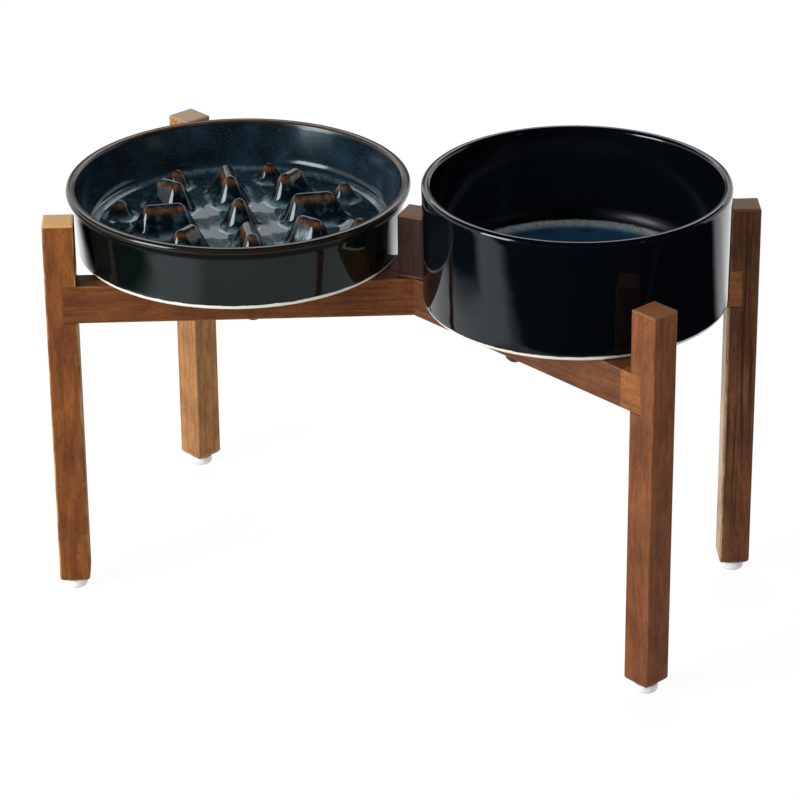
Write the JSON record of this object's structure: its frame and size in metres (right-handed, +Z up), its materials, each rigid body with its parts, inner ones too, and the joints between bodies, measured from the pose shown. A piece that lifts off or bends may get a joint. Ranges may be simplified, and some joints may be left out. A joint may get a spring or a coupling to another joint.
{
  "type": "elevated slow feeder dog bowl",
  "caption": "Raised pet feeder: crossed hardwood stand on square legs carrying a shallow ceramic slow-feeder bowl with floor mounds and a deeper ceramic water bowl, both lift-out.",
  "frame": {"origin": "on the floor, under the middle of the whole object's box", "axes": "+X from the slow feeder to the water bowl, +Y to the rear, +Z up"},
  "size_m": [0.4203, 0.2126, 0.2848],
  "materials": {
    "oiled_wood": "oiled reddish-brown hardwood with fine straight grain",
    "dowel_wood": "plain pale hardwood",
    "reactive_glaze": "gloss reactive glaze, near-black navy breaking to rust on lip and crowns",
    "navy_glaze": "gloss near-black navy glaze",
    "black_rubber": "matt moulded rubber",
    "white_plastic": "satin white moulded plastic",
    "black_steel": "black oxide",
    "nail_steel": "plain steel wire",
    "brass": "plain brass"
  },
  "bodies": {
    "stand": {"lower_cross_rail": "oiled_wood", "upper_cross_rail": "oiled_wood", "centre_post": "oiled_wood", "post_insert": "brass", "post_bolt": "black_steel", "post_washer": "black_steel", "front_left_leg": "oiled_wood", "front_left_dowel": "dowel_wood", "front_left_glide": "white_plastic", "front_left_glide_nail": "nail_steel", "front_left_bumper": "black_rubber", "rear_left_leg": "oiled_wood", "rear_left_dowel": "dowel_wood", "rear_left_glide": "white_plastic", "rear_left_glide_nail": "nail_steel", "rear_left_bumper": "black_rubber", "front_right_leg": "oiled_wood", "front_right_dowel": "dowel_wood", "front_right_glide": "white_plastic", "front_right_glide_nail": "nail_steel", "front_right_bumper": "black_rubber", "rear_right_leg": "oiled_wood", "rear_right_dowel": "dowel_wood", "rear_right_glide": "white_plastic", "rear_right_glide_nail": "nail_steel", "rear_right_bumper": "black_rubber"},
    "slow_feeder": {"slow_feeder_bowl": "reactive_glaze"},
    "water": {"water_bowl": "navy_glaze"}
  },
  "joints": [
    {"name": "slow_feeder_lift", "type": "slide", "parent": "stand", "child": "slow_feeder", "axis": [0, 0, 1], "range_m": [0, 0.12]},
    {"name": "water_lift", "type": "slide", "parent": "stand", "child": "water", "axis": [0, 0, 1], "range_m": [0, 0.12]}
  ]
}
